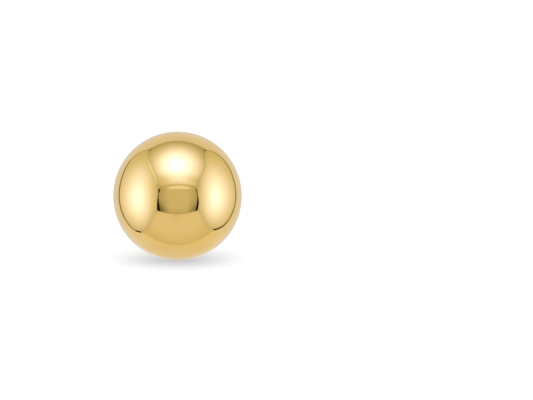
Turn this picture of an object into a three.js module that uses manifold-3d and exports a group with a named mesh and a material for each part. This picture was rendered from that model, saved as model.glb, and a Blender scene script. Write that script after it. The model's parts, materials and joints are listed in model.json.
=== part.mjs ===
// Ball stud earring, in millimetres with +Z up.
// A polished hollow ball has a straight post soldered to its back, and a butterfly back is pushed onto
// the post. The stud is drawn along its own axis, +Y from the ball to the tip of the post, and then laid
// on the table, where it rests on the ball and on the two scrolls of the butterfly back.
import * as THREE from "three";
import { mergeVertices } from "three/addons/utils/BufferGeometryUtils.js";
import Module from "manifold-3d";

// Ball and post
const BALL_DIAMETER = 8;
const BALL_WALL = 0.35; // the ball is hollow
const VENT_DIAMETER = 0.5; // lets the air out of the hollow while the post is soldered on
const VENT_FROM_AXIS = 1.3; // the vent is at the back, below the post
const POST_DIAMETER = 0.8;
const POST_LENGTH = 10; // from the back of the ball to the tip
const SOLDER_FILLET = 0.3; // radius of the solder where the post meets the ball
const TIP_LENGTH = 0.4; // rounded end of the post
const NOTCH_FROM_TIP = 1.7; // middle of the groove that stops the butterfly back
const NOTCH_WIDTH = 0.6;
const NOTCH_DEPTH = 0.1;

// Butterfly back: one strip of sheet, stamped to a waisted outline and curled into two scrolls
const LOBE_GAP = 5.2; // room for the ear lobe between ball and plate
const SHEET = 0.3;
const POST_CLEARANCE = 0.12; // between the post and the back that grips it
const SCROLL_START_RADIUS = 1.15; // middle of the sheet, where the plate starts to curl
const SCROLL_END_RADIUS = 0.62; // at the free end, inside the scroll
const SCROLL_TURN = THREE.MathUtils.degToRad(395);
const SCROLL_TIGHTENING = 1.4; // above 1, the scroll tightens mostly near its free end
const WAIST_HALF_HEIGHT = 1.7; // beside the post
const CREST_HALF_HEIGHT = 2.2; // on the outer side of a scroll
const END_HALF_HEIGHT = 1.5; // at a scroll's free end
const CREST_SHARE = 0.3; // where the crest stands along the scroll

// Facets
const TURNED_SIDES = 56;
const BALL_STEPS = 28;
const HOLLOW_SIDES = 32;
const HOLLOW_STEPS = 16;
const VENT_SIDES = 12;
const FILLET_STEPS = 4;
const NOTCH_STEPS = 4;
const TIP_STEPS = 5;
const PLATE_STEPS = 4; // from the post to a scroll
const SCROLL_STEPS = 33;
const SHEET_ROWS = 2; // across the strip's height
const HOLE_SIDES = 24;
const TILT_HALVINGS = 40; // how finely the resting angle is found

// Worked out from the sizes above
const ballRadius = BALL_DIAMETER / 2;
const postRadius = POST_DIAMETER / 2;
const postTip = ballRadius + POST_LENGTH;
const quarterTurn = Math.PI / 2;
const innerSideShare = (1.5 * Math.PI) / SCROLL_TURN; // how far along the scroll it passes the post
const innerSideRadius = scrollRadius(innerSideShare);
const scrollCentreX = postRadius + POST_CLEARANCE + SHEET / 2 + innerSideRadius;
const plateY = ballRadius + LOBE_GAP + SHEET / 2; // middle of the plate's sheet
const scrollCentreY = plateY + SCROLL_START_RADIUS;
const stripSteps = PLATE_STEPS + SCROLL_STEPS;

const wasm = await Module();
wasm.setup();

const yellowGold = { color: 0xe5c072, metalness: 1 };
const polishedGold = new THREE.MeshStandardMaterial({ ...yellowGold, roughness: 0.05 });
const stampedGold = new THREE.MeshStandardMaterial({ ...yellowGold, roughness: 0.16 });

/** Points along an arc about (x, y), angles in radians from the x axis. */
function arc(x, y, radius, from, to, steps) {
  return Array.from({ length: steps + 1 }, (_, i) => {
    const angle = THREE.MathUtils.lerp(from, to, i / steps);
    return new THREE.Vector2(x + radius * Math.cos(angle), y + radius * Math.sin(angle));
  });
}

/** Half outline of ball, solder, post, notch and tip: x is the distance from the axis, y is along it. */
function studProfile() {
  const filletX = postRadius + SOLDER_FILLET;
  const filletY = Math.sqrt((ballRadius + SOLDER_FILLET) ** 2 - filletX ** 2);
  const tangent = Math.atan2(filletY, filletX); // where ball and fillet touch
  const ball = arc(0, 0, ballRadius, -quarterTurn, tangent, BALL_STEPS);
  const fillet = arc(filletX, filletY, SOLDER_FILLET, tangent + Math.PI, Math.PI, FILLET_STEPS).slice(1);

  const notchRadius = ((NOTCH_WIDTH / 2) ** 2 + NOTCH_DEPTH ** 2) / (2 * NOTCH_DEPTH);
  const notchX = postRadius - NOTCH_DEPTH + notchRadius;
  const notchHalfAngle = Math.asin(NOTCH_WIDTH / 2 / notchRadius);
  const notchFrom = Math.PI + notchHalfAngle;
  const notchTo = Math.PI - notchHalfAngle;
  const notch = arc(notchX, postTip - NOTCH_FROM_TIP, notchRadius, notchFrom, notchTo, NOTCH_STEPS);

  const tip = arc(0, 0, 1, 0, quarterTurn, TIP_STEPS).map(
    (p) => new THREE.Vector2(p.x * postRadius, postTip - TIP_LENGTH + p.y * TIP_LENGTH),
  );

  const profile = [...ball, ...fillet, ...notch, ...tip];
  profile.at(0).x = 0; // both ends lie on the axis
  profile.at(-1).x = 0;
  return profile;
}

/** Radius of the scroll's middle line, a share of the way from the plate to its free end. */
function scrollRadius(share) {
  return THREE.MathUtils.lerp(SCROLL_START_RADIUS, SCROLL_END_RADIUS, share ** SCROLL_TIGHTENING);
}

/** Half the strip's height, a number of steps from the post. */
function halfHeight(step) {
  const crestStep = PLATE_STEPS + CREST_SHARE * SCROLL_STEPS;
  if (step < crestStep) {
    const rise = THREE.MathUtils.smoothstep(step, 0, crestStep);
    return THREE.MathUtils.lerp(WAIST_HALF_HEIGHT, CREST_HALF_HEIGHT, rise);
  }
  const fall = THREE.MathUtils.smoothstep(step, crestStep, stripSteps);
  return THREE.MathUtils.lerp(CREST_HALF_HEIGHT, END_HALF_HEIGHT, fall);
}

/** Middle of the sheet and its outward direction on the right half, a number of steps from the post. */
function curl(step) {
  if (step <= PLATE_STEPS) {
    const x = (scrollCentreX * step) / PLATE_STEPS;
    return { middle: new THREE.Vector2(x, plateY), outward: new THREE.Vector2(0, -1) };
  }
  const share = (step - PLATE_STEPS) / SCROLL_STEPS;
  const angle = share * SCROLL_TURN - quarterTurn;
  const outward = new THREE.Vector2(Math.cos(angle), Math.sin(angle));
  const centre = new THREE.Vector2(scrollCentreX, scrollCentreY);
  return { middle: centre.addScaledVector(outward, scrollRadius(share)), outward };
}

/** The strip, first flat with one unit of length for each step and of height for each half, then curled. */
function curledStrip() {
  const strip = new THREE.BoxGeometry(2 * stripSteps, SHEET, 2, 2 * stripSteps, 1, SHEET_ROWS);
  const position = strip.attributes.position;
  for (let i = 0; i < position.count; i++) {
    const side = Math.sign(position.getX(i));
    const step = Math.abs(position.getX(i));
    const { middle, outward } = curl(step);
    const place = middle.addScaledVector(outward, -position.getY(i));
    position.setXYZ(i, side * place.x, place.y, position.getZ(i) * halfHeight(step));
  }
  return strip;
}

/** A closed geometry as a solid for joining and cutting. */
function toSolid(geometry) {
  const bare = geometry.clone();
  bare.deleteAttribute("normal");
  bare.deleteAttribute("uv");
  const merged = mergeVertices(bare);
  const vertProperties = new Float32Array(merged.attributes.position.array);
  const triVerts = new Uint32Array(merged.index.array);
  return new wasm.Manifold(new wasm.Mesh({ numProp: 3, vertProperties, triVerts }));
}

/** A solid as a geometry. */
function toGeometry(solid) {
  const { vertProperties, triVerts } = solid.getMesh();
  const geometry = new THREE.BufferGeometry();
  geometry.setAttribute("position", new THREE.BufferAttribute(vertProperties, 3));
  geometry.setIndex(new THREE.BufferAttribute(triVerts, 1));
  geometry.computeVertexNormals();
  return geometry;
}

/** Ball, solder and post as one solid, with the hollow of the ball and its vent cut out. */
function makeBallAndPost() {
  const outside = new THREE.LatheGeometry(studProfile(), TURNED_SIDES);
  const hollow = new THREE.SphereGeometry(ballRadius - BALL_WALL, HOLLOW_SIDES, HOLLOW_STEPS);
  const ventRadius = VENT_DIAMETER / 2;
  const vent = new THREE.CylinderGeometry(ventRadius, ventRadius, ballRadius, VENT_SIDES);
  vent.translate(0, ballRadius, -VENT_FROM_AXIS);

  const solid = toSolid(outside).subtract(toSolid(hollow)).subtract(toSolid(vent));
  const mesh = new THREE.Mesh(toGeometry(solid), polishedGold);
  mesh.name = "ball_and_post";
  return mesh;
}

/** The curled strip, with the hole for the post cut through its plate. */
function makeButterflyBack() {
  const holeRadius = postRadius + POST_CLEARANCE;
  const hole = new THREE.CylinderGeometry(holeRadius, holeRadius, 4 * SHEET, HOLE_SIDES);
  hole.translate(0, plateY, 0);

  const solid = toSolid(curledStrip()).subtract(toSolid(hole));
  const mesh = new THREE.Mesh(toGeometry(solid), stampedGold);
  mesh.name = "butterfly_back";
  return mesh;
}

/** How far the back reaches below the ball's centre with the post tipped down by an angle. */
function dropOfBack(back, tilt) {
  const position = back.geometry.attributes.position;
  let drop = 0;
  for (let i = 0; i < position.count; i++) {
    drop = Math.max(drop, position.getY(i) * Math.sin(tilt) - position.getZ(i) * Math.cos(tilt));
  }
  return drop;
}

/** The angle at which the scrolls of the back reach the table that the ball lies on. */
function restTilt(back) {
  let low = 0;
  let high = quarterTurn / 2;
  for (let i = 0; i < TILT_HALVINGS; i++) {
    const middle = (low + high) / 2;
    if (dropOfBack(back, middle) < ballRadius) {
      low = middle;
    } else {
      high = middle;
    }
  }
  return low;
}

const ballAndPost = makeBallAndPost();
const butterflyBack = makeButterflyBack();

// The origin is on the table, under the middle of the stud
const earring = new THREE.Group();
earring.add(ballAndPost, butterflyBack);
earring.rotation.x = -restTilt(butterflyBack);
earring.position.z = ballRadius;
const box = new THREE.Box3().setFromObject(earring, true);
earring.position.y = -(box.min.y + box.max.y) / 2;

const part = new THREE.Group();
part.add(earring);

export default part;
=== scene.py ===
"""A polished gold ball stud earring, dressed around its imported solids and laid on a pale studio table."""

import json
import logging
import math
from collections.abc import Mapping, Sequence
from dataclasses import dataclass
from enum import Enum, IntEnum
from typing import Any

import bpy
import numpy as np
from mathutils import Matrix, Vector


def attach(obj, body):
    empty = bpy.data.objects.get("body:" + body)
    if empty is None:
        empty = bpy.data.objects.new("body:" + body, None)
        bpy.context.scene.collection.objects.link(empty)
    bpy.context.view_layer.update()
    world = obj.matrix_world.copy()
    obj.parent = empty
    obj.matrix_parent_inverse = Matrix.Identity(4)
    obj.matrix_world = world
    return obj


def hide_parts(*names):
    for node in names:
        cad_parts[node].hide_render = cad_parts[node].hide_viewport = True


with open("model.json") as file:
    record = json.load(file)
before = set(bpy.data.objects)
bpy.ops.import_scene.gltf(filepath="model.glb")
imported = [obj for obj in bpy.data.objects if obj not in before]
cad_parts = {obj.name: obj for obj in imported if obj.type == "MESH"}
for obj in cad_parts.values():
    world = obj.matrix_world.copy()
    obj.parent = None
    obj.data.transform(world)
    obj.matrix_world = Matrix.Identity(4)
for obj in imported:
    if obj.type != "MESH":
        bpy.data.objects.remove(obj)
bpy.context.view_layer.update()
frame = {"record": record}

LOG = logging.getLogger("ball_stud")
MM = 0.001
BODY = "root"


class Slot(Enum):
    """The record's material slots."""

    POLISHED_GOLD = "polished_gold"
    STAMPED_GOLD = "stamped_gold"


class StudZone(IntEnum):
    """Zones of the ball and post, in the order of their material slots."""

    BALL = 0
    SOLDER = 1
    POST = 2
    INSIDE = 3


class BackZone(IntEnum):
    """Zones of the butterfly back, in the order of their material slots."""

    SHEET = 0
    EDGE = 1


class Pattern(Enum):
    """Shapes of the small marks on a surface."""

    SWELLS = "ShaderNodeTexNoise"
    DENTS = "ShaderNodeTexVoronoi"


# Nearly all of a pattern's heights lie between these two, where its marks dull the metal least and most
PATTERN_LOW = 0.25
PATTERN_HIGH = 0.75


def linear(colour: str) -> tuple[float, float, float, float]:
    """Turns an sRGB hex colour into linear light.

    Args:
        colour: Six hex digits.

    Returns:
        Red, green, blue and an alpha of 1.
    """
    shares = [int(colour[i : i + 2], 16) / 255 for i in (0, 2, 4)]
    light = [s / 12.92 if s <= 0.04045 else ((s + 0.055) / 1.055) ** 2.4 for s in shares]
    return (light[0], light[1], light[2], 1.0)


def add_node(
    tree: bpy.types.NodeTree, kind: str, inputs: Mapping[str | int, Any] | None = None, **settings: Any
) -> bpy.types.Node:
    """Adds a node with its settings and links.

    Args:
        tree: The node tree it goes into.
        kind: Blender's name for the kind of node.
        inputs: What its sockets take, by name or number: another node's socket, or a value.
        **settings: The node's own properties.

    Returns:
        The new node.
    """
    node = tree.nodes.new(kind)
    for name, value in settings.items():
        setattr(node, name, value)
    for name, value in (inputs or {}).items():
        if isinstance(value, bpy.types.NodeSocket):
            tree.links.new(value, node.inputs[name])
        else:
            node.inputs[name].default_value = value
    return node


@dataclass(frozen=True)
class Placement:
    """How the stud lies: where its ball is, and how far its post tips down.

    Attributes:
        ball: Centre of the ball, in metres.
        tilt: Angle of the post below the horizontal, in radians.
    """

    ball: Vector
    tilt: float

    @classmethod
    def from_record(cls, record: Mapping[str, Any], ball_to_lobe_mm: float) -> "Placement":
        """Reads the placement off the mount in the middle of the ear lobe.

        Args:
            record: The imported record.
            ball_to_lobe_mm: Distance along the post from the ball's centre to that mount.

        Returns:
            The placement.
        """
        mount = next(m for m in record["mounts"] if m["name"] == "pierced_ear_lobe")
        axis = Vector(mount["axis"])
        return cls(Vector(mount["pos_m"]) + axis * ball_to_lobe_mm * MM, math.atan2(axis.z, -axis.y))

    def matrix(self) -> Matrix:
        """Gives the matrix that takes the stud's own axes, +Y along the post, to the table."""
        return Matrix.Translation(self.ball) @ Matrix.Rotation(-self.tilt, 4, "X")


@dataclass(frozen=True)
class Marks:
    """One kind of small mark that a way of working leaves on metal.

    Attributes:
        pattern: Shape of the marks.
        size_mm: Size of one mark along x, y and z of the piece.
        depth_mm: How deep the marks are.
        dulls: Roughness that the marks add at most.
    """

    pattern: Pattern
    size_mm: tuple[float, float, float]
    depth_mm: float
    dulls: float


@dataclass(frozen=True)
class GoldFinish:
    """Yellow gold with the surface that one way of working gives it.

    Attributes:
        name: Name of the material.
        tone: Main colour, sRGB.
        second_tone: Colour that the main one drifts to in soft clouds, sRGB.
        cloud_mm: Size of the clouds.
        roughness: Roughness between the marks.
        marks: The marks on it, coarse ones first.
    """

    name: str
    tone: str
    second_tone: str
    cloud_mm: float
    roughness: float
    marks: tuple[Marks, ...]

    def material(self, placement: Placement) -> bpy.types.Material:
        """Makes the node material.

        Args:
            placement: How the stud lies, so that marks follow its own axes.

        Returns:
            The material, ready for a piece's slot.
        """
        material = bpy.data.materials.new(self.name)
        material.use_nodes = True
        tree = material.node_tree
        tree.nodes.clear()
        lying = add_node(tree, "ShaderNodeTexCoord").outputs["Object"]
        upright = {"Vector": lying, "Location": placement.ball, "Rotation": (-placement.tilt, 0.0, 0.0)}
        place = add_node(tree, "ShaderNodeMapping", upright, vector_type="TEXTURE").outputs[0]
        soft = {"Vector": place, "Scale": 1 / (self.cloud_mm * MM), "Detail": 2.0}
        clouds = add_node(tree, "ShaderNodeTexNoise", soft).outputs[0]
        tones = {0: clouds, 6: linear(self.tone), 7: linear(self.second_tone)}  # factor and the two colours
        colour = add_node(tree, "ShaderNodeMix", tones, data_type="RGBA").outputs[2]
        rough: bpy.types.NodeSocket | float = self.roughness
        normal = add_node(tree, "ShaderNodeNewGeometry").outputs["Normal"]
        for mark in self.marks:
            scale = [1 / (size * MM) for size in mark.size_mm]
            stretched = add_node(tree, "ShaderNodeMapping", {"Vector": place, "Scale": scale}).outputs[0]
            height = add_node(tree, mark.pattern.value, {"Vector": stretched, "Scale": 1.0}).outputs[0]
            span = {"From Min": PATTERN_LOW, "From Max": PATTERN_HIGH, "To Min": 0.0, "To Max": mark.dulls}
            dulled = add_node(tree, "ShaderNodeMapRange", {"Value": height, **span}).outputs[0]
            rough = add_node(tree, "ShaderNodeMath", {0: dulled, 1: rough}, operation="ADD").outputs[0]
            bump = {"Height": height, "Distance": mark.depth_mm * MM, "Strength": 1.0, "Normal": normal}
            normal = add_node(tree, "ShaderNodeBump", bump).outputs[0]
        surface = {"Base Color": colour, "Metallic": 1.0, "Roughness": rough, "Normal": normal}
        gold = add_node(tree, "ShaderNodeBsdfPrincipled", surface).outputs[0]
        add_node(tree, "ShaderNodeOutputMaterial", {"Surface": gold})
        return material


# Gold plate buffed with rouge on a soft wheel: a mirror. What is left to see is a slow swell of the surface,
# which bends reflections a little, and hairlines from the last wheel, drawn ten times coarser than they are.
BUFFED_GOLD = GoldFinish(
    name="buffed_gold_mirror",
    tone="E5C072",
    second_tone="E6C276",
    cloud_mm=2.5,
    roughness=0.02,
    marks=(
        Marks(Pattern.SWELLS, (1.1, 1.1, 1.1), 0.0008, 0.008),
        Marks(Pattern.SWELLS, (1.2, 0.05, 0.05), 0.00001, 0.012),
    ),
)

# Gold solder that flowed into the corner and was only pickled and brushed: paler than the ball, satin, with a
# rippled skin.
FLOWED_SOLDER = GoldFinish(
    name="flowed_gold_solder",
    tone="E3C27C",
    second_tone="D9B368",
    cloud_mm=0.35,
    roughness=0.26,
    marks=(
        Marks(Pattern.SWELLS, (0.25, 0.25, 0.25), 0.003, 0.08),
        Marks(Pattern.SWELLS, (0.05, 0.05, 0.05), 0.0006, 0.08),
    ),
)

# Wire pulled through a die: fine lines along the post, which spread a reflection across them.
DRAWN_WIRE = GoldFinish(
    name="drawn_gold_wire",
    tone="E4BE6F",
    second_tone="DDB564",
    cloud_mm=1.5,
    roughness=0.09,
    marks=(
        Marks(Pattern.SWELLS, (0.07, 3.0, 0.07), 0.0016, 0.08),
        Marks(Pattern.SWELLS, (0.03, 0.9, 0.03), 0.0005, 0.06),
    ),
)

# The inside of the ball as pressed and soldered, never polished: dull, darker and heat stained.
PRESSED_INSIDE = GoldFinish(
    name="unpolished_gold_inside",
    tone="B98B45",
    second_tone="8F6530",
    cloud_mm=0.8,
    roughness=0.6,
    marks=(Marks(Pattern.SWELLS, (0.12, 0.12, 0.12), 0.004, 0.12),),
)

# Rolled sheet, stamped and curled, then polished in a barrel of small steel shot: bright, with a slow wave
# from the curling tool, shallow round dents, and rolling lines drawn coarser than they are.
BARREL_POLISHED_SHEET = GoldFinish(
    name="barrel_polished_gold_sheet",
    tone="E5BF70",
    second_tone="DDB35F",
    cloud_mm=1.2,
    roughness=0.1,
    marks=(
        Marks(Pattern.SWELLS, (0.5, 0.5, 0.9), 0.004, 0.03),
        Marks(Pattern.DENTS, (0.16, 0.16, 0.16), 0.0016, 0.07),
        Marks(Pattern.SWELLS, (0.02, 0.02, 0.4), 0.0002, 0.04),
    ),
)

# Where the stamp sheared the sheet: short lines across the thickness, rubbed bright by the barrel.
SHEARED_EDGE = GoldFinish(
    name="sheared_gold_edge",
    tone="EBC97E",
    second_tone="D6A955",
    cloud_mm=0.4,
    roughness=0.16,
    marks=(
        Marks(Pattern.SWELLS, (0.04, 0.04, 0.3), 0.0014, 0.1),
        Marks(Pattern.SWELLS, (0.25, 0.25, 0.25), 0.003, 0.06),
    ),
)


def arc(centre: tuple[float, float], radius: float, start: float, end: float, steps: int) -> np.ndarray:
    """Works out points along an arc.

    Args:
        centre: Centre of the circle.
        radius: Its radius.
        start: Angle of the first point from the first axis, in radians.
        end: Angle of the last point.
        steps: Number of steps between them.

    Returns:
        One row for each point.
    """
    angle = np.linspace(start, end, steps + 1)
    return np.column_stack((centre[0] + radius * np.cos(angle), centre[1] + radius * np.sin(angle)))


def add_piece(
    name: str, points: np.ndarray, faces: Sequence[Sequence[int]], zones: Sequence[int]
) -> bpy.types.Object:
    """Makes a mesh object from points and faces.

    Args:
        name: Name of the object.
        points: Points in millimetres.
        faces: Corner numbers of each face.
        zones: Material slot of each face.

    Returns:
        The object, linked to the scene.
    """
    mesh = bpy.data.meshes.new(name)
    mesh.from_pydata((points * MM).tolist(), [], [list(f) for f in faces])
    mesh.polygons.foreach_set("material_index", np.asarray(zones, dtype=np.int32))
    mesh.shade_smooth()
    piece = bpy.data.objects.new(name, mesh)
    bpy.context.scene.collection.objects.link(piece)
    return piece


def turn(name: str, outline: np.ndarray, zones: Sequence[int], sides: int) -> bpy.types.Object:
    """Turns a half outline about the Y axis, as on a lathe.

    Args:
        name: Name of the object.
        outline: Distance from the axis and place along it of each point. Both ends lie on the axis.
        zones: Material slot of each stretch between two points.
        sides: Number of sides round the axis.

    Returns:
        The turned object.
    """
    angle = np.linspace(0, math.tau, sides, endpoint=False)
    rings = outline[1:-1]
    x = np.outer(rings[:, 0], np.sin(angle))
    z = np.outer(rings[:, 0], np.cos(angle))
    y = np.repeat(rings[:, 1:], sides, axis=1)
    poles = [[0.0, outline[0, 1], 0.0], [0.0, outline[-1, 1], 0.0]]
    points = np.concatenate((np.stack((x, y, z), -1).reshape(-1, 3), poles))
    first, last = len(points) - 2, len(points) - 1
    top = (len(rings) - 1) * sides
    faces: list[tuple[int, ...]] = []
    face_zones: list[int] = []
    for side in range(sides):
        after = (side + 1) % sides
        faces.append((first, after, side))
        faces.append((last, top + side, top + after))
        face_zones += [zones[0], zones[-1]]
        for ring in range(len(rings) - 1):
            low, high = ring * sides, (ring + 1) * sides
            faces.append((low + side, low + after, high + after, high + side))
            face_zones.append(zones[ring + 1])
    return add_piece(name, points, faces, face_zones)


def cut(piece: bpy.types.Object, cutters: Sequence[bpy.types.Object]) -> None:
    """Cuts other objects out of a piece and removes them.

    Args:
        piece: The object that is cut.
        cutters: The objects that are taken away from it.
    """
    for cutter in cutters:
        modifier = piece.modifiers.new(cutter.name, "BOOLEAN")
        modifier.operation = "DIFFERENCE"
        modifier.solver = "EXACT"
        modifier.object = cutter
    whole = piece.data
    graph = bpy.context.evaluated_depsgraph_get()
    piece.data = bpy.data.meshes.new_from_object(piece.evaluated_get(graph))
    piece.modifiers.clear()
    for mesh in [whole, *(cutter.data for cutter in cutters)]:
        bpy.data.meshes.remove(mesh)
    piece.data.name = piece.name


@dataclass
class BallAndPost:
    """Hollow ball, solder fillet and post, which are one soldered piece. Sizes are in millimetres."""

    ball_radius: float = 4.0
    wall: float = 0.35
    vent_radius: float = 0.25
    vent_from_axis: float = 1.3
    countersink_radius: float = 1.0
    countersink_depth: float = 0.055
    post_radius: float = 0.4
    post_length: float = 10.0
    fillet: float = 0.3
    tip_length: float = 0.4
    notch_from_tip: float = 1.7
    notch_width: float = 0.6
    notch_depth: float = 0.1
    sides: int = 192
    ball_steps: int = 144
    hollow_sides: int = 64
    hollow_steps: int = 32
    vent_sides: int = 40
    fillet_steps: int = 10
    notch_steps: int = 10
    tip_steps: int = 12
    post_points: int = 24
    drill_from: float = 2.0
    drill_to: float = 4.8
    sharp_angle: float = math.radians(30)

    def outline(self) -> tuple[np.ndarray, list[int]]:
        """Works out the half outline, from the front of the ball to the tip of the post.

        Returns:
            Its points, and the zone of each stretch between them.
        """
        fillet_x = self.post_radius + self.fillet
        fillet_y = math.sqrt((self.ball_radius + self.fillet) ** 2 - fillet_x**2)
        tangent = math.atan2(fillet_y, fillet_x)
        ball = arc((0, 0), self.ball_radius, -math.pi / 2, tangent, self.ball_steps)
        fillet = arc((fillet_x, fillet_y), self.fillet, tangent + math.pi, math.pi, self.fillet_steps)[1:]

        tip_y = self.ball_radius + self.post_length
        half = self.notch_width / 2
        notch_radius = (half**2 + self.notch_depth**2) / (2 * self.notch_depth)
        notch_x = self.post_radius - self.notch_depth + notch_radius
        swing = math.asin(half / notch_radius)
        notch_y = tip_y - self.notch_from_tip
        notch = arc((notch_x, notch_y), notch_radius, math.pi + swing, math.pi - swing, self.notch_steps)
        tip = arc((0, 0), 1.0, 0.0, math.pi / 2, self.tip_steps) * (self.post_radius, self.tip_length)
        tip += (0, tip_y - self.tip_length)
        straight = np.linspace(fillet[-1], notch[0], self.post_points)[1:-1]
        points = np.concatenate((ball, fillet, straight, notch, tip))
        points[[0, -1], 0] = 0
        zones = [StudZone.BALL] * (len(ball) - 1) + [StudZone.SOLDER] * len(fillet)
        zones += [StudZone.POST] * (len(points) - 1 - len(zones))
        return points, zones

    def build(self, placement: Placement) -> bpy.types.Object:
        """Builds the piece where it lies.

        Args:
            placement: How the stud lies.

        Returns:
            The piece.
        """
        points, zones = self.outline()
        piece = turn("polished_ball_and_post", points, zones, self.sides)
        cut(piece, [self.hollow(), *self.vent()])
        self.round_normals(piece)
        piece.data.transform(placement.matrix())
        return piece

    def hollow(self) -> bpy.types.Object:
        """Makes the cutter for the inside of the ball.

        Returns:
            The cutter.
        """
        half = arc((0, 0), self.ball_radius - self.wall, -math.pi / 2, math.pi / 2, self.hollow_steps)
        half[[0, -1], 0] = 0
        return turn("hollow", half, [StudZone.INSIDE] * self.hollow_steps, self.hollow_sides)

    def vent(self) -> list[bpy.types.Object]:
        """Makes the cutters for the vent: the hole, and the shallow countersink round its mouth.

        Returns:
            The two cutters.
        """
        radius = self.vent_radius
        hole = [[0, self.drill_from], [radius, self.drill_from], [radius, self.drill_to], [0, self.drill_to]]
        drill = turn("vent", np.array(hole), [StudZone.INSIDE] * 3, self.vent_sides)
        drill.data.transform(Matrix.Translation((0, 0, -self.vent_from_axis * MM)))

        half = arc((0, 0), self.countersink_radius, -math.pi / 2, math.pi / 2, self.hollow_steps)
        half[[0, -1], 0] = 0
        bowl = turn("countersink", half, [StudZone.SOLDER] * self.hollow_steps, self.hollow_sides)
        lift = self.ball_radius + self.countersink_radius - self.countersink_depth
        slope = math.asin(self.vent_from_axis / self.ball_radius)
        bowl.data.transform(Matrix.Translation(Vector((0, math.cos(slope), -math.sin(slope))) * lift * MM))
        return [drill, bowl]

    def round_normals(self, piece: bpy.types.Object) -> None:
        """Gives the ball the normals of a true sphere, so that its mirror stays clean round the vent.

        Args:
            piece: The piece, still in the stud's own axes.
        """
        mesh = piece.data
        mesh.set_sharp_from_angle(angle=self.sharp_angle)
        normals = np.array([corner.vector for corner in mesh.corner_normals])
        for face in mesh.polygons:
            if face.material_index == StudZone.BALL:
                for corner in face.loop_indices:
                    normals[corner] = mesh.vertices[mesh.loops[corner].vertex_index].co.normalized()
        mesh.normals_split_custom_set(normals.tolist())

    def dress(self, piece: bpy.types.Object, placement: Placement) -> None:
        """Gives each zone its finish.

        Args:
            piece: The piece.
            placement: How the stud lies.
        """
        for finish in (BUFFED_GOLD, FLOWED_SOLDER, DRAWN_WIRE, PRESSED_INSIDE):
            piece.data.materials.append(finish.material(placement))
        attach(piece, BODY)
        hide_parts("ball_and_post")


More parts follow.
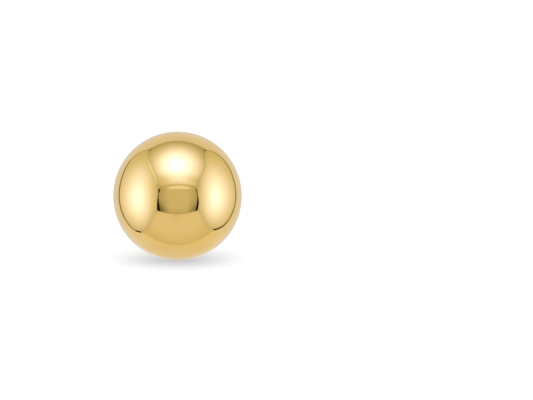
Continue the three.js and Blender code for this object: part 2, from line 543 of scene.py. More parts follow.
@dataclass
class ButterflyBack:
    """Friction back: one strip of sheet, waisted and curled into two scrolls. Sizes are in millimetres."""

    plate_y: float = 9.35
    sheet: float = 0.3
    hole_radius: float = 0.52
    scroll_start: float = 1.15
    scroll_end: float = 0.62
    scroll_turn: float = math.radians(395)
    tightening: float = 1.4
    waist: float = 1.7
    crest: float = 2.2
    end: float = 1.5
    crest_share: float = 0.3
    plate_steps: int = 4
    scroll_steps: int = 33
    edge_round: float = 0.08
    hole_lip: float = 0.08
    finer: int = 8
    corner_steps: int = 5
    rows: int = 12
    hole_sides: int = 72
    flare_steps: int = 6
    sharp_angle: float = math.radians(40)

    def scroll_radius(self, share: float) -> float:
        """Gives the radius of the scroll's middle line, a share of the way to its free end."""
        return self.scroll_start + (self.scroll_end - self.scroll_start) * share**self.tightening

    def half_height(self, step: float) -> float:
        """Works out half the strip's height.

        Args:
            step: Number of steps from the post.

        Returns:
            Half the height.
        """
        crest_step = self.plate_steps + self.crest_share * self.scroll_steps
        last = self.plate_steps + self.scroll_steps
        low, start, stop = (self.waist, 0, crest_step) if step < crest_step else (self.end, last, crest_step)
        rise = min(max((step - start) / (stop - start), 0), 1)
        return low + (self.crest - low) * rise * rise * (3 - 2 * rise)

    def curl(self, step: float) -> tuple[np.ndarray, np.ndarray]:
        """Works out the middle of the sheet and its outward direction on the right-hand half.

        Args:
            step: Number of steps from the post.

        Returns:
            The middle and the direction, in x and y.
        """
        passing = self.scroll_radius(1.5 * math.pi / self.scroll_turn)
        centre = np.array([self.hole_radius + self.sheet / 2 + passing, self.plate_y + self.scroll_start])
        if step <= self.plate_steps:
            return np.array([centre[0] * step / self.plate_steps, self.plate_y]), np.array([0.0, -1.0])
        share = (step - self.plate_steps) / self.scroll_steps
        angle = share * self.scroll_turn - math.pi / 2
        outward = np.array([math.cos(angle), math.sin(angle)])
        return centre + outward * self.scroll_radius(share), outward

    def section(self) -> tuple[np.ndarray, list[int]]:
        """Works out the strip's section, as points that follow its height and others that stay.

        Returns:
            For each point its distance from the sheet's middle, its share of the height's straight part and
            its offset past that, and the zone of each stretch after a point.
        """
        flat = self.sheet / 2 - self.edge_round
        rows: list[tuple[float, float, float]] = []
        zones: list[int] = []
        for side, up in ((1, 1), (-1, -1)):
            for share in np.linspace(-up, up, self.rows + 1)[:-1]:
                rows.append((side * self.sheet / 2, share, 0.0))
                zones.append(BackZone.SHEET)
            for near, start in ((side, 0.0), (-side, math.pi / 2)):
                for angle in np.linspace(start, start + math.pi / 2, self.corner_steps + 1):
                    across = near * flat + side * self.edge_round * math.cos(angle)
                    rows.append((across, up, up * self.edge_round * math.sin(angle)))
                    zones.append(BackZone.EDGE)
            rows.pop()
            zones.pop()
        return np.array(rows), zones

    def build(self, placement: Placement) -> bpy.types.Object:
        """Builds the piece where it lies.

        Args:
            placement: How the stud lies.

        Returns:
            The piece.
        """
        section, zones = self.section()
        last = self.plate_steps + self.scroll_steps
        per_step = np.linalg.norm(self.curl(last)[0] - self.curl(last - 1)[0])
        stations = [(step, 0.0) for step in np.linspace(0, last, last * self.finer + 1)]
        stations = [s for s in stations if (last - s[0]) * per_step > self.edge_round]
        for angle in np.linspace(0, math.pi / 2, self.corner_steps + 1):
            step = last - self.edge_round * (1 - math.sin(angle)) / per_step
            stations.append((step, self.edge_round * (1 - math.cos(angle))))
        rings = [self.ring(section, step, inset, 1) for step, inset in stations]
        rings = [self.ring(section, step, inset, -1) for step, inset in stations[:0:-1]] + rings
        count = len(section)
        last_ring = (len(rings) - 1) * count
        faces: list[Sequence[int]] = [range(count), range(last_ring, last_ring + count)[::-1]]
        face_zones = [BackZone.EDGE, BackZone.EDGE]
        for ring in range(len(rings) - 1):
            for i in range(count):
                low, high, after = ring * count, (ring + 1) * count, (i + 1) % count
                faces.append((low + i, high + i, high + after, low + after))
                face_zones.append(zones[i])
        piece = add_piece("curled_butterfly_back", np.concatenate(rings), faces, face_zones)
        cut(piece, [self.hole()])
        piece.data.set_sharp_from_angle(angle=self.sharp_angle)
        piece.data.transform(placement.matrix())
        return piece

    def ring(self, section: np.ndarray, step: float, inset: float, side: int) -> np.ndarray:
        """Places the strip's section at one station.

        Args:
            section: The section's points.
            step: Number of steps from the post.
            inset: How much smaller the section is there on each side.
            side: 1 on the right-hand half, -1 on the left.

        Returns:
            The points, in the stud's own axes.
        """
        middle, outward = self.curl(step)
        half = self.half_height(step) - self.edge_round
        across = section[:, 0] * (1 - inset / (self.sheet / 2))
        flat = middle + across[:, None] * outward
        height = section[:, 1] * half + section[:, 2]
        height *= 1 - inset / (half + self.edge_round)
        return np.column_stack((side * flat[:, 0], flat[:, 1], height))

    def hole(self) -> bpy.types.Object:
        """Makes the cutter for the post's hole, which flares at both faces of the plate.

        Returns:
            The cutter.
        """
        half = self.sheet / 2
        centre = (self.hole_radius + self.hole_lip, half - self.hole_lip)
        flare = arc(centre, self.hole_lip, math.pi, math.pi / 2, self.flare_steps)
        upper = np.concatenate((flare, flare[-1:] + (0, half), [[0, 2 * half]]))
        outline = np.concatenate((upper[::-1] * (1, -1), upper)) + (0, self.plate_y)
        return turn("hole", outline, [BackZone.EDGE] * (len(outline) - 1), self.hole_sides)

    def dress(self, piece: bpy.types.Object, placement: Placement) -> None:
        """Gives each zone its finish.

        Args:
            piece: The piece.
            placement: How the stud lies.
        """
        for finish in (BARREL_POLISHED_SHEET, SHEARED_EDGE):
            piece.data.materials.append(finish.material(placement))
        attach(piece, BODY)
        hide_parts("butterfly_back")


@dataclass
class StudioCamera:
    """Camera in front of the ball, in line with the post. The ball's place and radius are in pixels."""

    lens_mm: float = 400.0
    sensor_mm: float = 36.0
    sees_from: float = 0.01
    sees_to: float = 10.0
    picture: tuple[int, int] = (533, 400)
    ball_at: tuple[float, float] = (177.5, 195.85)
    ball_pixels: float = 64.5

    def build(self, placement: Placement, ball_radius_mm: float) -> bpy.types.Object:
        """Makes the camera, so that the ball has its place and size in the picture.

        Args:
            placement: How the stud lies.
            ball_radius_mm: Radius of the ball.

        Returns:
            The camera.
        """
        data = bpy.data.cameras.new("studio_camera")
        data.lens, data.sensor_width = self.lens_mm, self.sensor_mm
        data.clip_start, data.clip_end = self.sees_from, self.sees_to
        camera = bpy.data.objects.new("studio_camera", data)
        bpy.context.scene.collection.objects.link(camera)
        pixel = self.sensor_mm / self.picture[0] / self.lens_mm
        distance = ball_radius_mm * MM / math.sin(math.atan(self.ball_pixels * pixel))
        aside = (self.ball_at[0] - self.picture[0] / 2) * pixel * distance
        above = (self.picture[1] / 2 - self.ball_at[1]) * pixel * distance
        turned = Matrix.Rotation(math.pi / 2 - placement.tilt, 4, "X")
        camera.matrix_world = (
            Matrix.Translation(placement.ball) @ turned @ Matrix.Translation((-aside, -above, distance))
        )
        bpy.context.scene.camera = camera
        return camera


Stops = Sequence[tuple[float, float]]
Corners = Sequence[Sequence[float]]
CARD_GRID = 72  # points along each edge of a card
SEAM_INSET = 0.015  # how far seams stand inside the cloth, as a share of the way to the ball

# White cloth with lamps outside it: evenly warm where it is only lit through, colder in the lamps' glow, and
# nearly neutral on the front wall, which no lamp reaches.
LIT_CLOTH = "E7E8C8"
LAMP_GLOW = "97A6FF"
UNLIT_CLOTH = "E7E8DF"


class Axis(IntEnum):
    """Directions in the tent, seen from the camera."""

    RIGHT = 0
    UP = 1
    NEAR = 2


def light_of(colour: str) -> np.ndarray:
    """Gives an sRGB hex colour as linear red, green and blue."""
    return np.array(linear(colour)[:3])


def lit_cloth(glow: np.ndarray) -> np.ndarray:
    """Gives the light of the cloth with a lamp's glow on it."""
    return light_of(LIT_CLOTH) + glow[..., None] * light_of(LAMP_GLOW)


def bluish(blue: np.ndarray, green_share: float) -> np.ndarray:
    """Gives the colour of light with a given blue, whose green follows it by a share."""
    return np.stack((np.ones_like(blue), 1 + green_share * (blue - 1), blue), axis=-1)


def to_path(points: np.ndarray, path: Corners) -> np.ndarray:
    """Measures how far points are from a line through corners.

    Args:
        points: Points, with their coordinates last.
        path: The corners.

    Returns:
        The distances.
    """
    corners = np.asarray(path, dtype=float)
    nearest = np.full(points.shape[:-1], np.inf)
    for first, along in zip(corners[:-1], np.diff(corners, axis=0)):
        share = np.clip((points - first) @ along / (along @ along), 0, 1)
        nearest = np.minimum(nearest, np.linalg.norm(points - first - share[..., None] * along, axis=-1))
    return nearest


def edge_shares() -> np.ndarray:
    """Gives shares of the way along an edge, closer together near its ends."""
    return (1 - np.cos(np.linspace(0, math.pi, CARD_GRID))) / 2


def smooth_line(path: Corners) -> np.ndarray:
    """Places points along a smooth line through corners.

    Args:
        path: The corners, as right, up and near.

    Returns:
        One row for each point.
    """
    corners = np.asarray(path, dtype=float)
    lengths = np.linalg.norm(np.diff(corners, axis=0), axis=1)
    passed = np.concatenate(([0], np.cumsum(lengths))) / lengths.sum()
    slopes = np.gradient(corners, passed, axis=0)
    shares = edge_shares()
    piece = np.clip(np.searchsorted(passed, shares, side="right") - 1, 0, len(lengths) - 1)
    span = np.diff(passed)[piece][:, None]
    u = (shares - passed[piece])[:, None] / span
    chord = corners[piece + 1] - corners[piece]
    start, end = slopes[piece] * span, slopes[piece + 1] * span
    bend = 3 * chord - 2 * start - end
    twist = start + end - 2 * chord
    return corners[piece] + u * start + u**2 * bend + u**3 * twist


def span_edges(
    edge: Corners, opposite: Corners, start: Corners | None = None, end: Corners | None = None
) -> np.ndarray:
    """Spans a grid of points between four edges.

    Args:
        edge: Corners of the first edge.
        opposite: Corners of the edge across from that, in the same direction.
        start: Corners of the edge between their first ends, or none for a straight edge.
        end: Corners of the edge between their last ends, or none for a straight edge.

    Returns:
        The grid, with right, up and near last.
    """
    first, last = smooth_line(edge)[:, None], smooth_line(opposite)[:, None]
    left = smooth_line(start or (edge[0], opposite[0]))[None]
    right = smooth_line(end or (edge[-1], opposite[-1]))[None]
    s, a = edge_shares()[:, None, None], edge_shares()[None, :, None]
    flat = (1 - a) * ((1 - s) * first[0] + s * first[-1]) + a * ((1 - s) * last[0] + s * last[-1])
    return (1 - a) * first + a * last + (1 - s) * left + s * right - flat


def round_grid(reach: float) -> tuple[np.ndarray, ...]:
    """Gives the turn round the middle and the way out from it for a round grid of points."""
    share = np.linspace(0, 1, CARD_GRID)
    return tuple(np.meshgrid(math.tau * share, reach * share, indexing="ij"))


@dataclass(frozen=True)
class Card:
    """A lit card of the tent.

    Attributes:
        name: Name of the card.
        points: Grid of points, each as right, up and near.
        light: Grid of light values, as red, green and blue.
    """

    name: str
    points: np.ndarray
    light: np.ndarray


@dataclass(frozen=True)
class Ramp:
    """A smooth change of light from one place to another.

    Attributes:
        start: Where it starts.
        end: Where it is complete.
        change: What it has added by then.
    """

    start: float
    end: float
    change: float

    def at(self, place: np.ndarray) -> np.ndarray:
        """Gives what it adds at each place."""
        share = np.clip((place - self.start) / (self.end - self.start), 0, 1)
        return self.change * share * share * (3 - 2 * share)


@dataclass(frozen=True)
class EdgeShade:
    """A darker band along an edge.

    Attributes:
        depth: Share of the light that is missing at the edge.
        width: How far in the band fades.
    """

    depth: float
    width: float

    def leaves(self, inside: np.ndarray) -> np.ndarray:
        """Gives the share of the light that is left at distances from the edge."""
        return 1 - self.depth * np.exp(-np.clip(inside, 0, None) / self.width)


@dataclass(frozen=True)
class Glow:
    """The patch of light that a lamp throws on the cloth.

    Attributes:
        peak: Light in its middle.
        at: Its middle, in the two directions of the cloth.
        reach: How far it reaches each way in those directions.
        fall: How it falls off. The lower, the more pointed its middle and the wider its skirt.
    """

    peak: float
    at: tuple[float, float]
    reach: tuple[tuple[float, float], tuple[float, float]]
    fall: float

    def level(self, *places: np.ndarray) -> np.ndarray:
        """Works out its light.

        Args:
            *places: Places on the cloth, in its two directions.

        Returns:
            The light at each place.
        """
        away = np.zeros_like(places[0])
        for place, middle, (back, forth) in zip(places, self.at, self.reach):
            offset = place - middle
            away += (offset / np.where(offset > 0, forth, back)) ** 2
        return self.peak * np.exp(-0.5 * away**self.fall)


@dataclass(frozen=True)
class Seam:
    """How a seam, gap or hem shows in the cloth.

    Attributes:
        across: Direction across it, as right, up and near.
        axis: The direction that its stops are placed along.
        widths: Its width at places in that direction, in rising order.
        levels: Its light at such places.
        tint: Colour of its light, sRGB.
    """

    across: tuple[float, float, float]
    axis: Axis
    widths: Stops
    levels: Stops
    tint: str = "FFF4DD"

    def card(self, name: str, path: Corners) -> Card:
        """Makes a narrow card along the seam.

        Args:
            name: Name of the card.
            path: Corners of the seam.

        Returns:
            The card.
        """
        middle = smooth_line(path)
        wide, level = (np.interp(middle[:, self.axis], *zip(*stops)) for stops in (self.widths, self.levels))
        reach = wide[:, None] / 2 * np.array(self.across)
        light = np.repeat(level[:, None, None], 2, axis=1) * light_of(self.tint)
        return Card(name, np.stack((middle - reach, middle + reach), axis=1), light)


@dataclass(frozen=True)
class TentSide:
    """One side wall of the tent, with a lamp outside it. Its own corners are given as up and near.

    Attributes:
        name: Which side it is.
        x: How far right of the ball the wall stands.
        roof: Its upper edge, from the front to the rear.
        ground: Its lower edge, from the front to the rear.
        rear: Its rear edge, from the roof to the ground.
        lamp: The lamp's glow on it, up and near.
        rear_gap: The gap along its rear edge.
        front_gap_path: Right and up of the corners of the gap beside the front wall, from the top.
        front_gap: That gap.
        front_shade: How much darker the front wall gets towards this side.
        roof_shade: Darker band along its upper edge.
        low_shade: Darker band along its lower and front edges.
    """

    name: str
    x: float
    roof: Corners
    ground: Corners
    rear: Corners
    lamp: Glow
    rear_gap: Seam
    front_gap_path: Corners
    front_gap: Seam
    front_shade: float
    roof_shade: EdgeShade = EdgeShade(0.1, 0.22)
    low_shade: EdgeShade = EdgeShade(0.2, 0.22)

    def place(self, corners: Corners, inset: float = 0.0) -> list[tuple[float, ...]]:
        """Puts corners on the wall, or a share of the way in towards the ball."""
        return [tuple(value * (1 - inset) for value in (self.x, *corner)) for corner in corners]

    def cards(self) -> list[Card]:
        """Makes the wall and the gap along its rear edge.

        Returns:
            The cards.
        """
        front = (self.roof[0], self.ground[0])
        edges = (self.place(edge) for edge in (self.roof, self.ground, front, self.rear))
        points = span_edges(*edges)
        flat = points[..., Axis.UP :]
        kept = self.roof_shade.leaves(to_path(flat, self.roof))
        for path in (self.ground, front):
            kept = kept * self.low_shade.leaves(to_path(flat, path))
        light = lit_cloth(self.lamp.level(*np.moveaxis(flat, -1, 0))) * kept[..., None]
        gap = self.rear_gap.card(f"tent_rear_gap_{self.name}", self.place(self.rear, SEAM_INSET))
        return [Card(f"tent_wall_{self.name}", points, light), gap]


# What the two side walls share: how far their lamps reach, and the directions and widths of their gaps
WALL_REACH = ((0.37, 0.46), (0.33, 0.33))
REAR_ACROSS = (0.0, 0.1, 1.0)
FRONT_ACROSS = (1.0, 0.0, 0.0)
REAR_WIDTHS = ((0.0, 0.12),)
FRONT_WIDTHS = (
    (-0.74, 0.24), (-0.5, 0.17), (-0.3, 0.12), (-0.1, 0.08), (0.1, 0.065), (0.16, 0.09), (0.31, 0.1),
)

LEFT_SIDE = TentSide(
    name="left",
    x=-1.0,
    roof=((0.5, 1.52), (0.68, 1.35), (0.94, 0.93), (1.14, 0.5), (1.29, 0.0), (1.4, -0.35), (1.6, -0.79)),
    ground=((-0.76, 1.52), (-0.79, 0.92), (-0.96, 0.48), (-1.03, 0.15), (-1.05, -0.05), (-1.0, -0.37)),
    rear=(
        (1.6, -0.79), (1.28, -0.99), (0.68, -1.06), (0.35, -0.87),
        (-0.4, -0.75), (-0.78, -0.62), (-1.0, -0.37),
    ),
    lamp=Glow(peak=3.7, at=(-0.08, 0.25), reach=WALL_REACH, fall=0.7),
    rear_gap=Seam(
        across=REAR_ACROSS,
        axis=Axis.UP,
        widths=REAR_WIDTHS,
        levels=(
            (-0.84, 0.02), (-0.8, 0.5), (-0.5, 0.45), (-0.36, 0.25),
            (0.68, 0.25), (0.8, 0.5), (1.3, 0.6), (1.5, 0.5), (1.6, 0.03),
        ),
    ),
    front_gap_path=((-0.8, 0.31), (-0.825, 0.12), (-0.86, -0.15), (-0.89, -0.5), (-0.935, -0.74)),
    front_gap=Seam(
        across=FRONT_ACROSS,
        axis=Axis.UP,
        widths=FRONT_WIDTHS,
        levels=((-0.3, 0.02), (-0.1, 0.1), (0.04, 0.25), (0.1, 0.4), (0.16, 0.05), (0.31, 0.03)),
    ),
    front_shade=0.27,
)
RIGHT_SIDE = TentSide(
    name="right",
    x=1.0,
    roof=(
        (0.4, 1.45), (0.43, 1.24), (0.62, 1.18), (0.83, 0.74),
        (1.02, 0.36), (1.33, 0.03), (1.5, -0.3), (1.6, -0.76),
    ),
    ground=((-0.75, 1.45), (-0.75, 0.86), (-0.84, 0.72), (-0.93, 0.44), (-0.99, 0.11), (-0.95, -0.24)),
    rear=(
        (1.6, -0.76), (1.28, -0.98), (0.7, -1.01), (0.35, -0.87),
        (-0.36, -0.72), (-0.58, -0.62), (-0.95, -0.24),
    ),
    lamp=Glow(peak=3.7, at=(-0.06, 0.32), reach=WALL_REACH, fall=0.7),
    rear_gap=Seam(
        across=REAR_ACROSS,
        axis=Axis.UP,
        widths=REAR_WIDTHS,
        levels=(
            (-0.95, 0.02), (-0.8, 0.1), (-0.5, 0.35), (0.6, 0.3),
            (1.1, 0.4), (1.35, 0.65), (1.5, 0.5), (1.6, 0.03),
        ),
    ),
    front_gap_path=((0.83, 0.31), (0.865, 0.12), (0.915, -0.15), (0.95, -0.5), (0.965, -0.74)),
    front_gap=Seam(
        across=FRONT_ACROSS,
        axis=Axis.UP,
        widths=FRONT_WIDTHS,
        levels=((-0.3, 0.02), (-0.1, 0.1), (0.04, 0.2), (0.1, 0.25), (0.31, 0.25)),
    ),
    front_shade=0.24,
)
Sides = tuple[TentSide, TentSide]


@dataclass(frozen=True)
class TentRoof:
    """Arched roof of the tent with a lamp over it, and the gap and the hem at its edges."""

    crown: tuple[float, float, float] = (0.03, 0.475, 1.27)
    lamp: Glow = Glow(peak=5.9, at=(-0.03, 0.61), reach=((0.37, 0.37), (0.35, 0.35)), fall=0.75)
    dimmer_in_front: Ramp = Ramp(0.8, 1.3, -0.5)
    rear_shade: EdgeShade = EdgeShade(0.35, 0.63)
    front_shade: EdgeShade = EdgeShade(0.2, 0.04)
    left_shade: EdgeShade = EdgeShade(0.15, 0.06)
    right_shade: EdgeShade = EdgeShade(0.25, 0.12)
    gap_middle: tuple[float, float, float] = (0.0, 1.585, -0.73)
    gap: Seam = Seam(
        across=(0.0, -0.4, 0.9),
        axis=Axis.RIGHT,
        widths=((0.0, 0.16),),
        levels=((-1.0, 0.03), (-0.9, 0.3), (-0.8, 0.62), (0.8, 0.62), (0.9, 0.3), (1.0, 0.03)),
    )
    hem_first_corner: int = 1
    hem_last_corner: int = 4
    hem_from_edge: tuple[float, float, float] = (0.0, -0.07, -0.03)
    hem: Seam = Seam(
        across=(0.0, 1.0, 0.3),
        axis=Axis.UP,
        widths=((0.0, 0.08),),
        levels=((0.6, 1.08), (0.75, 1.32), (0.9, 1.46), (1.05, 1.46), (1.15, 1.2)),
        tint="EBF2FF",
    )

    def cards(self, sides: Sides) -> list[Card]:
        """Makes the roof, the gap at its rear and the hem that hangs along its left edge.

        Args:
            sides: The side walls that carry it.

        Returns:
            The cards.
        """
        left, right = (side.place(side.roof) for side in sides)
        front, rear = (left[0], self.crown, right[0]), (left[-1], right[-1])
        points = span_edges(front, rear, left, right)
        x, near = points[..., Axis.RIGHT], points[..., Axis.NEAR]
        glow = self.lamp.level(x, near) * (1 + self.dimmer_in_front.at(near))
        kept = self.rear_shade.leaves(to_path(points, rear)) * self.front_shade.leaves(to_path(points, front))
        kept = kept * self.left_shade.leaves(1 + x) * self.right_shade.leaves(1 - x)
        roof = Card("tent_roof", points, lit_cloth(glow) * kept[..., None])

        left, right = (side.place(side.roof, SEAM_INSET) for side in sides)
        gap = self.gap.card("tent_roof_gap", (left[-1], self.gap_middle, right[-1]))
        hung = np.array(left[self.hem_first_corner : self.hem_last_corner + 1]) + self.hem_from_edge
        return [roof, gap, self.hem.card("tent_left_hem", hung)]


@dataclass(frozen=True)
class TentGround:
    """Ground sheet of the tent, whose rear edge curves back at its ends."""

    front_middle: tuple[float, float, float] = (0.03, -0.8, 1.35)
    rear_at: float = -0.14
    rear_power: int = 6
    rear_points: int = 33
    level: float = 0.91
    brighter_in_front: Ramp = Ramp(0.0, 0.4, 0.04)
    rim: EdgeShade = EdgeShade(0.14, 0.1)
    blue: float = 0.88
    bluer_in_front: Ramp = Ramp(0.0, 0.7, 0.2)
    warmer_at_edge: Ramp = Ramp(0.85, 1.15, -0.1)
    green_share: float = 0.3
    below_lens: Ramp = Ramp(0.6, 1.1, 1.0)
    lens_width: float = 0.22
    lens_shade: tuple[float, float, float] = (0.06, 0.07, 0.15)
    hem: Seam = Seam(
        across=(0.0, 0.0, 1.0),
        axis=Axis.RIGHT,
        widths=((0.0, 0.05),),
        levels=((-1.0, 0.7), (-0.8, 0.88), (0.8, 0.88), (1.0, 0.7)),
        tint="FFF7E5",
    )

    def rear(self, sides: Sides) -> list[np.ndarray]:
        """Works out the rear edge.

        Args:
            sides: The side walls that it reaches.

        Returns:
            Points along it, from left to right.
        """
        left, right = (np.array(side.place(side.ground)[-1]) for side in sides)
        edge = []
        for x in np.linspace(-1, 1, self.rear_points):
            low, back = (left + right + x * (right - left))[Axis.UP :] / 2
            edge.append(np.array((x, low, self.rear_at + (back - self.rear_at) * x**self.rear_power)))
        return edge

    def cards(self, sides: Sides) -> list[Card]:
        """Makes the ground sheet and the hem along its rear edge.

        Args:
            sides: The side walls that it reaches.

        Returns:
            The cards.
        """
        left, right = (side.place(side.ground) for side in sides)
        rear = self.rear(sides)
        points = span_edges((left[0], self.front_middle, right[0]), rear, left, right)
        x, near = points[..., Axis.RIGHT], points[..., Axis.NEAR]
        level = self.level + self.brighter_in_front.at(near)
        level = level * self.rim.leaves(np.minimum(1 - np.abs(x), to_path(points, rear)))
        blue = self.blue + self.bluer_in_front.at(near) + self.warmer_at_edge.at(near)
        shaded = np.exp(-((x / self.lens_width) ** 2)) * self.below_lens.at(near)
        light = level[..., None] * bluish(blue, self.green_share) * (1 - shaded[..., None] * self.lens_shade)
        hem = self.hem.card("tent_ground_hem", [point * (1 - SEAM_INSET) for point in rear])
        return [Card("tent_ground", points, light), hem]


@dataclass(frozen=True)
class TentFront:
    """Front wall of the tent, which no lamp reaches, with the camera behind it."""

    at: float = 1.25
    middle: float = 0.03
    half: float = 0.86
    low: float = -0.86
    top: Corners = ((-0.83, 0.42), (0.03, 0.47), (0.89, 0.43))
    towards_side: Ramp = Ramp(0.58, 0.0, 1.0)
    towards_corner: Ramp = Ramp(-0.05, -0.6, 1.35)
    towards_foot: Ramp = Ramp(-0.4, -0.72, 0.1)
    warmth: tuple[float, float, float] = (1.0, 1.0, 1.1)
    seams_clear: float = 0.02
    foot_path: Corners = ((-0.93, -0.725), (-0.5, -0.75), (0.5, -0.75), (0.97, -0.725))
    foot: Seam = Seam(
        across=(0.0, 1.0, 0.0),
        axis=Axis.RIGHT,
        widths=((0.0, 0.055),),
        levels=((-0.93, 0.2), (-0.7, 0.5), (-0.4, 0.6), (0.4, 0.6), (0.7, 0.5), (0.97, 0.2)),
    )

    def cards(self, sides: Sides) -> list[Card]:
        """Makes the wall, dimmer and warmer towards its sides and foot, and the dark lines round it.

        Args:
            sides: The side walls beside it.

        Returns:
            The cards.
        """
        left, right = self.middle - self.half, self.middle + self.half
        low = [(x, self.low, self.at) for x in (left, right)]
        points = span_edges(low, [(*corner, self.at) for corner in self.top])
        x, up = points[..., Axis.RIGHT], points[..., Axis.UP]
        dark = np.zeros_like(x)
        for side, inside in zip(sides, (x - left, right - x)):
            dark += side.front_shade * self.towards_side.at(inside)
        dark = dark * (1 + self.towards_corner.at(up)) + self.towards_foot.at(up)
        wall = Card("tent_front", points, light_of(UNLIT_CLOTH) * (1 - dark[..., None] * self.warmth))

        clear = self.at - self.seams_clear
        foot = self.foot.card("tent_front_foot", [(*corner, clear) for corner in self.foot_path])
        cards = [wall, foot]
        for side in sides:
            path = [(*corner, clear) for corner in side.front_gap_path]
            cards.append(side.front_gap.card(f"tent_front_gap_{side.name}", path))
        return cards


@dataclass(frozen=True)
class TentValance:
    """Lit strip that hangs from the roof over the front wall, deepest in its middle."""

    middle: tuple[float, float, float] = (0.06, 0.335, 1.24)
    half: float = 0.6
    depth: float = 0.13
    droop: float = 0.04
    taper: float = 0.98
    outline_points: int = 17
    level: float = 1.45
    tint: str = "E2E7FF"
    fade: Ramp = Ramp(0.0, 0.3, 1.0)

    def card(self) -> Card:
        """Makes the strip, which fades into the wall at its ends.

        Returns:
            The card.
        """
        x = np.linspace(-self.half, self.half, self.outline_points)
        arch = 1 - self.taper * (x / self.half) ** 2
        edges = []
        for part in (-0.5, 0.5):
            up = part * self.depth * arch - self.droop * (1 - arch)
            edges.append((np.column_stack((x, up, 0 * x)) + self.middle).tolist())
        points = span_edges(*edges)
        fade = self.fade.at(self.half - np.abs(points[..., Axis.RIGHT] - self.middle[Axis.RIGHT]))[..., None]
        light = light_of(UNLIT_CLOTH) * (1 - fade) + self.level * light_of(self.tint) * fade
        return Card("tent_valance", points, light)


@dataclass(frozen=True)
class TentRoom:
    """Pale room round the tent, mirrored at the ball's rim. Angles are from straight behind the ball."""

    radius: float = 3.0
    level: float = 0.82
    brighter_aside: Ramp = Ramp(0.3, 0.65, 0.1)
    brighter_below: Ramp = Ramp(0.1, 0.5, 0.06)
    darker_in_front: Ramp = Ramp(1.8, 2.4, -0.4)
    blue: float = 1.09
    blue_to_right: float = -0.04
    warmer_below: Ramp = Ramp(0.68, 0.97, -0.24)
    green_share: float = 0.2

    def card(self) -> Card:
        """Makes the room.

        Returns:
            The card.
        """
        turned, angle = round_grid(math.pi)
        out = np.sin(angle)
        points = np.stack((out * np.cos(turned), out * np.sin(turned), -np.cos(angle)), axis=-1)
        x, below = points[..., Axis.RIGHT], -points[..., Axis.UP]
        level = self.level + self.brighter_aside.at(angle) + self.brighter_below.at(below)
        level = level + self.darker_in_front.at(angle)
        blue = self.blue + self.blue_to_right * x + self.warmer_below.at(below)
        light = level[..., None] * bluish(blue, self.green_share)
        return Card("tent_room", points * self.radius, light)


@dataclass(frozen=True)
class ContactShade:
    """Patch of table that the ball itself keeps dark where they touch. Sizes are in millimetres."""

    radius: float = 3.0
    level: float = 0.95
    shade: EdgeShade = EdgeShade(0.85, 0.5)

    def card(self) -> Card:
        """Makes the patch, about the point of contact and in metres.

        Returns:
            The card.
        """
        turned, out = round_grid(self.radius)
        points = np.stack((out * np.cos(turned), out * np.sin(turned), 0 * out), axis=-1) * MM
        level = self.level * self.shade.leaves(out)
        return Card("contact_shade", points, level[..., None] * np.ones(3))


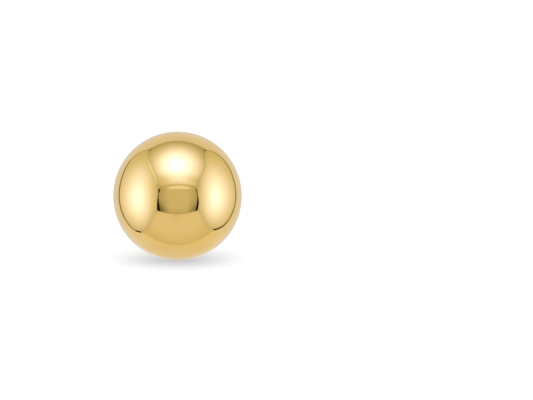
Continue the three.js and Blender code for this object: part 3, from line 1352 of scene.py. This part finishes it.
@dataclass
class LightTent:
    """White tent round the stud, which the polished gold mirrors and nothing else sees.

    Its half width is in metres. Its parts' sizes are shares of that, in the camera's axes, and their light is
    relative to the white room.
    """

    half_width: float = 0.5
    sides: Sides = (LEFT_SIDE, RIGHT_SIDE)
    roof: TentRoof = TentRoof()
    ground: TentGround = TentGround()
    front: TentFront = TentFront()
    valance: TentValance = TentValance()
    room: TentRoom = TentRoom()
    contact_shade: ContactShade = ContactShade()

    def cards(self) -> list[Card]:
        """Lists the tent's cards.

        Returns:
            The cards, about the ball.
        """
        walls = [card for side in self.sides for card in side.cards()]
        cloth = [card for part in (self.roof, self.ground, self.front) for card in part.cards(self.sides)]
        return [*walls, *cloth, self.valance.card(), self.room.card()]

    def build(self, placement: Placement, camera: bpy.types.Object) -> list[bpy.types.Object]:
        """Pitches the tent round the ball, facing the camera.

        Args:
            placement: How the stud lies.
            camera: The camera.

        Returns:
            The cards' objects.
        """
        material = self.material()
        towards = (camera.matrix_world.translation - placement.ball).normalized()
        right = Vector((-towards.y, towards.x, 0)).normalized()
        axes = Matrix((right, towards.cross(right), towards)).transposed().to_4x4()
        pitched = Matrix.Translation(placement.ball) @ axes @ Matrix.Scale(self.half_width, 4)
        touch = Matrix.Translation((placement.ball.x, placement.ball.y, 0))
        made = [self.add(card, material, pitched) for card in self.cards()]
        return [*made, self.add(self.contact_shade.card(), material, touch)]

    def add(self, card: Card, material: bpy.types.Material, place: Matrix) -> bpy.types.Object:
        """Adds a card to the scene, where only mirrors see it.

        Args:
            card: The card.
            material: Its material.
            place: Where it goes and how large it is.

        Returns:
            The card's object.
        """
        count, across = card.points.shape[:2]
        corner = np.arange(count * across).reshape(count, across)
        squares = (corner[:-1, :-1], corner[1:, :-1], corner[1:, 1:], corner[:-1, 1:])
        faces = np.stack(squares, -1).reshape(-1, 4).tolist()
        sheet = add_piece(card.name, card.points.reshape(-1, 3) / MM, faces, [0] * len(faces))
        colours = np.concatenate((card.light.reshape(-1, 3), np.ones((count * across, 1))), 1)
        light = sheet.data.color_attributes.new("light", "FLOAT_COLOR", "POINT")
        light.data.foreach_set("color", colours.astype(np.float32).ravel())
        sheet.data.materials.append(material)
        sheet.matrix_world = place
        for ray in ("camera", "diffuse", "transmission", "volume_scatter", "shadow"):
            setattr(sheet, f"visible_{ray}", False)
        return sheet

    def material(self) -> bpy.types.Material:
        """Makes the cards' material: fine white cloth, lit through. Its light is kept in the cards' points.

        Returns:
            The material.
        """
        material = bpy.data.materials.new("lit_white_tent_cloth")
        material.use_nodes = True
        tree = material.node_tree
        tree.nodes.clear()
        light = add_node(tree, "ShaderNodeVertexColor", layer_name="light").outputs["Color"]
        glow = add_node(tree, "ShaderNodeEmission", {"Color": light, "Strength": 1.0}).outputs[0]
        add_node(tree, "ShaderNodeOutputMaterial", {"Surface": glow})
        material.cycles.emission_sampling = "NONE"
        return material


@dataclass
class StudioTable:
    """Pale table in a white room, lit a little from below. Its size is in metres."""

    half_size: float = 2.0
    opal_white: str = "D0D0CF"
    from_below: float = 0.57
    room_white: str = "FFFFFF"
    room_light: float = 1.0

    def build(self) -> bpy.types.Object:
        """Makes the table and the white room.

        Returns:
            The table.
        """
        size = self.half_size / MM
        corners = np.array([[-size, -size, 0], [size, -size, 0], [size, size, 0], [-size, size, 0]])
        table = add_piece("studio_table", corners, [(0, 1, 2, 3)], [0])
        table.data.materials.append(self.surface())
        table.visible_glossy = False

        world = bpy.data.worlds.new("white_room")
        world.use_nodes = True
        background = world.node_tree.nodes["Background"]
        background.inputs["Color"].default_value = linear(self.room_white)
        background.inputs["Strength"].default_value = self.room_light
        bpy.context.scene.world = world
        bpy.context.scene.view_settings.view_transform = "Standard"
        bpy.context.scene.cycles.caustics_reflective = False
        return table

    def surface(self) -> bpy.types.Material:
        """Makes the table's material: opal acrylic, matt white, whose own light keeps shadows pale.

        Returns:
            The material.
        """
        material = bpy.data.materials.new("lit_opal_acrylic")
        material.use_nodes = True
        tree = material.node_tree
        tree.nodes.clear()
        matt = add_node(tree, "ShaderNodeBsdfDiffuse", {"Color": linear(self.opal_white)}).outputs[0]
        glow = add_node(tree, "ShaderNodeEmission", {"Strength": self.from_below}).outputs[0]
        both = add_node(tree, "ShaderNodeAddShader", {0: matt, 1: glow}).outputs[0]
        add_node(tree, "ShaderNodeOutputMaterial", {"Surface": both})
        material.cycles.emission_sampling = "NONE"
        return material


def main() -> None:
    """Builds and dresses the stud, then sets up the camera, the light and the table."""
    logging.basicConfig(level=logging.INFO)
    stud, back = BallAndPost(), ButterflyBack()
    to_lobe = (stud.ball_radius + back.plate_y - back.sheet / 2) / 2
    placement = Placement.from_record(frame["record"], to_lobe)
    for maker in (stud, back):
        piece = maker.build(placement)
        maker.dress(piece, placement)
        LOG.info("%s: %d faces", piece.name, len(piece.data.polygons))
    camera = StudioCamera().build(placement, stud.ball_radius)
    for staged in (StudioTable().build(), *LightTent().build(placement, camera)):
        LOG.info("%s", staged.name)


if __name__ == "__main__":
    main()
